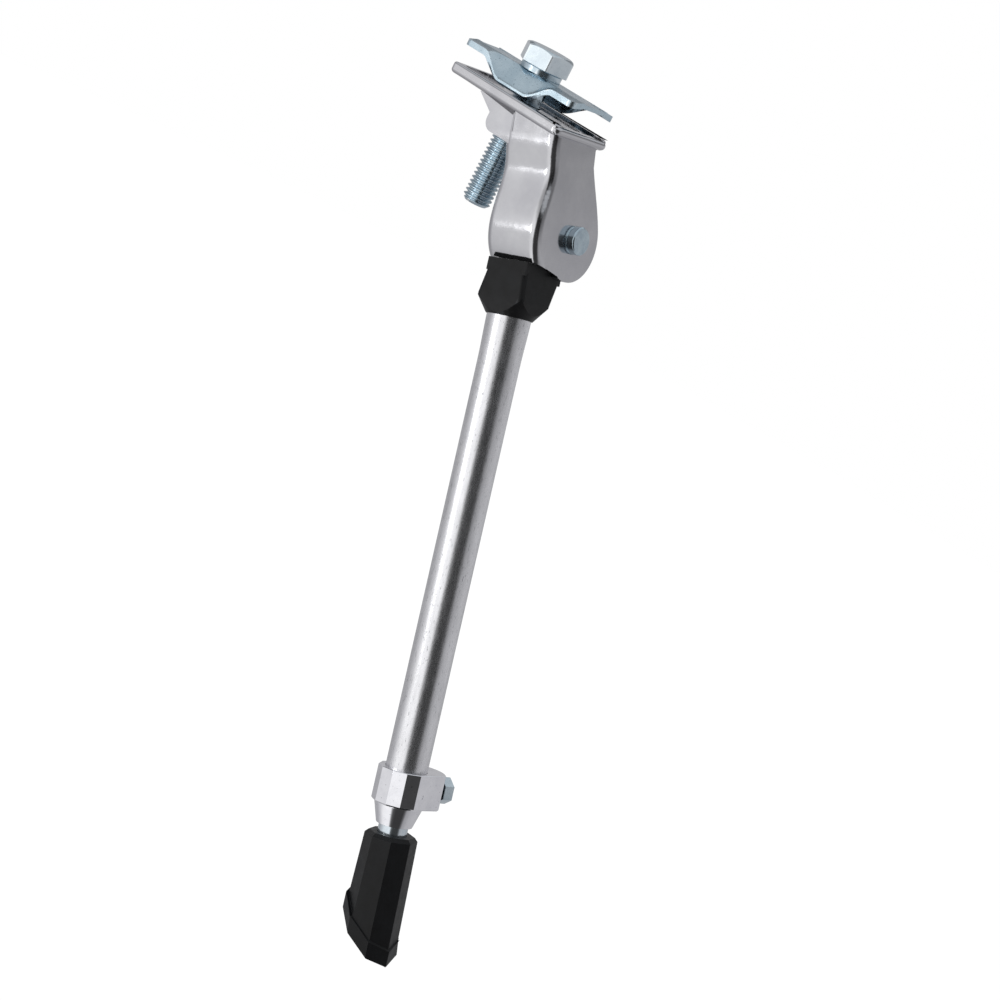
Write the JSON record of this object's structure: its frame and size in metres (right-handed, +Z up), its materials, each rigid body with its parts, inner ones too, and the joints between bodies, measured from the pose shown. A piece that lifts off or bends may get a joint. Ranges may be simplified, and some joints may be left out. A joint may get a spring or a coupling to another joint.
{
  "type": "bicycle kickstand",
  "caption": "Centre-mount bicycle kickstand: bolted clamp plates, folding leg with a spring-loaded pivot, and a sliding foot locked by a collar screw.",
  "frame": {"origin": "on the clamp bolt's axis, level with the top of the lower plate's rim, where the bicycle's stays sit", "axes": "+X away from the bicycle on the leg's side, +Y to the bicycle's rear, +Z up along the clamp bolt"},
  "size_m": [0.1438, 0.0481, 0.2803],
  "materials": {
    "zinc_steel": "bright zinc plating",
    "satin_chrome": "satin chrome on pressed steel",
    "polished_chrome": "polished chrome on a casting",
    "bare_aluminium": "drawn, bare",
    "black_moulding": "moulded, low sheen",
    "bright_rod": "bright zinc plating",
    "dark_steel": "oiled",
    "white_plastic": "moulded"
  },
  "bodies": {
    "root": {"bracket": "satin_chrome", "clamp_nut": "zinc_steel", "pivot_pin": "zinc_steel"},
    "clamp_plate": {"top_plate": "zinc_steel"},
    "clamp_screw": {"clamp_bolt": "zinc_steel", "lock_washer": "zinc_steel"},
    "draw": {"draw_rod": "dark_steel", "draw_nut": "zinc_steel", "spring_seat_lower": "dark_steel"},
    "leg": {"leg_head": "black_moulding", "leg_tube": "bare_aluminium", "collar": "polished_chrome", "leg_spring": "dark_steel", "spring_seat_upper": "dark_steel"},
    "lock_screw": {"collar_screw": "zinc_steel"},
    "foot_slider": {"foot_rod": "bright_rod", "foot": "black_moulding", "rod_guide": "white_plastic", "guide_pin": "dark_steel"}
  },
  "joints": [
    {"name": "clamp_lift", "type": "slide", "parent": "root", "child": "clamp_plate", "axis": [0, 0, 1], "range_m": [0, 0.012]},
    {"name": "bolt_turn", "type": "hinge", "parent": "clamp_plate", "child": "clamp_screw", "pos_m": [0, 0, 0], "axis": [0, 0, 1], "range_deg": [0, 2881]},
    {"name": "leg_fold", "type": "hinge", "parent": "root", "child": "draw", "pos_m": [0.0257, 0.0096, -0.0359], "axis": [0.9397, 0, 0.342], "range_deg": [0, 95]},
    {"name": "leg_draw", "type": "slide", "parent": "draw", "child": "leg", "axis": [0.3416, -0.0523, -0.9384], "range_m": [0, 0.003], "stiffness_N_per_m": 8000, "springref_m": -0.005, "deforming": ["leg_spring"]},
    {"name": "foot_slide", "type": "slide", "parent": "leg", "child": "foot_slider", "axis": [0.3416, -0.0523, -0.9384], "range_m": [0, 0.04]},
    {"name": "collar_screw_turn", "type": "hinge", "parent": "leg", "child": "lock_screw", "pos_m": [0.08961, -0.01141, -0.21149], "axis": [0.3986, 0.9123, 0.0942], "range_deg": [0, 720]}
  ],
  "couplings": [
    {"joint": "bolt_turn", "follows": "clamp_lift", "rad_per_m": 4188.8}
  ]
}
